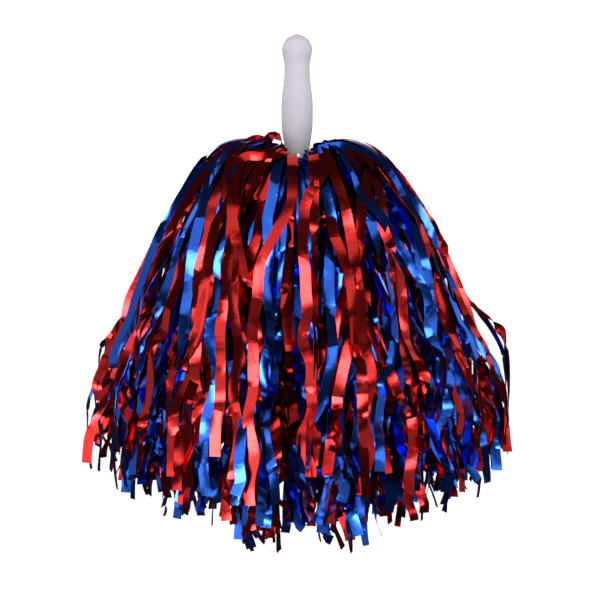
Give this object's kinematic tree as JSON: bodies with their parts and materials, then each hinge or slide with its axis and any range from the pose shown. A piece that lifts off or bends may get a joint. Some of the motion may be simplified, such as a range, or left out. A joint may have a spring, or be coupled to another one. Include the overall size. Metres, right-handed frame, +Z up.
{
  "type": "cheer pom pom",
  "caption": "Hand-held cheer pom: ball-ended stick handle with foil film streamers tied through its lower end, hanging as a full bell-shaped skirt.",
  "frame": {"origin": "on the handle's axis, at the widest part of the grip", "axes": "+Z up the handle towards its ball end; +Y along the eye that the cable tie passes through; streamers hang along -Z"},
  "size_m": [0.2952, 0.2952, 0.3765],
  "materials": {
    "handle_plastic": "satin, milky and slightly translucent",
    "tie_nylon": "satin natural nylon",
    "red_film": "metallised film, mirror-like",
    "blue_film": "metallised film, mirror-like"
  },
  "bodies": {
    "handle": {"handle": "handle_plastic"},
    "bundle": {"tie_strap": "tie_nylon", "tie_head": "tie_nylon", "tie_tail": "tie_nylon", "gathered_bands": "red_film", "left_crown": "blue_film", "right_crown": "red_film", "inner_blue_fringe_1": "blue_film", "inner_red_fringe_1": "red_film", "inner_blue_fringe_2": "blue_film", "inner_red_fringe_2": "red_film", "inner_blue_fringe_3": "blue_film", "inner_red_fringe_3": "red_film", "inner_blue_fringe_4": "blue_film", "inner_red_fringe_4": "red_film"},
    "lock_1": {"outer_red_fringe_1": "red_film", "outer_blue_fringe_1": "blue_film"},
    "lock_2": {"outer_red_fringe_2": "red_film", "outer_blue_fringe_2": "blue_film"},
    "lock_3": {"outer_red_fringe_3": "red_film", "outer_blue_fringe_3": "blue_film"},
    "lock_4": {"outer_red_fringe_4": "red_film", "outer_blue_fringe_4": "blue_film"},
    "lock_5": {"outer_red_fringe_5": "red_film", "outer_blue_fringe_5": "blue_film"},
    "lock_6": {"outer_red_fringe_6": "red_film", "outer_blue_fringe_6": "blue_film"},
    "lock_7": {"outer_red_fringe_7": "red_film", "outer_blue_fringe_7": "blue_film"},
    "lock_8": {"outer_red_fringe_8": "red_film", "outer_blue_fringe_8": "blue_film"}
  },
  "joints": [
    {"name": "bundle_rock", "type": "hinge", "parent": "handle", "child": "bundle", "pos_m": [0, 0, -0.03], "axis": [0, 1, 0], "range_deg": [-12, 12]},
    {"name": "lock_1_lift", "type": "hinge", "parent": "bundle", "child": "lock_1", "pos_m": [0.0388, 0.01607, -0.025], "axis": [0.3827, -0.9239, 0], "range_deg": [0, 45]},
    {"name": "lock_2_lift", "type": "hinge", "parent": "bundle", "child": "lock_2", "pos_m": [0.01607, 0.0388, -0.025], "axis": [0.9239, -0.3827, 0], "range_deg": [0, 45]},
    {"name": "lock_3_lift", "type": "hinge", "parent": "bundle", "child": "lock_3", "pos_m": [-0.01607, 0.0388, -0.025], "axis": [0.9239, 0.3827, 0], "range_deg": [0, 45]},
    {"name": "lock_4_lift", "type": "hinge", "parent": "bundle", "child": "lock_4", "pos_m": [-0.0388, 0.01607, -0.025], "axis": [0.3827, 0.9239, 0], "range_deg": [0, 45]},
    {"name": "lock_5_lift", "type": "hinge", "parent": "bundle", "child": "lock_5", "pos_m": [-0.0388, -0.01607, -0.025], "axis": [-0.3827, 0.9239, 0], "range_deg": [0, 45]},
    {"name": "lock_6_lift", "type": "hinge", "parent": "bundle", "child": "lock_6", "pos_m": [-0.01607, -0.0388, -0.025], "axis": [-0.9239, 0.3827, 0], "range_deg": [0, 45]},
    {"name": "lock_7_lift", "type": "hinge", "parent": "bundle", "child": "lock_7", "pos_m": [0.01607, -0.0388, -0.025], "axis": [-0.9239, -0.3827, 0], "range_deg": [0, 45]},
    {"name": "lock_8_lift", "type": "hinge", "parent": "bundle", "child": "lock_8", "pos_m": [0.0388, -0.01607, -0.025], "axis": [-0.3827, -0.9239, 0], "range_deg": [0, 45]}
  ]
}
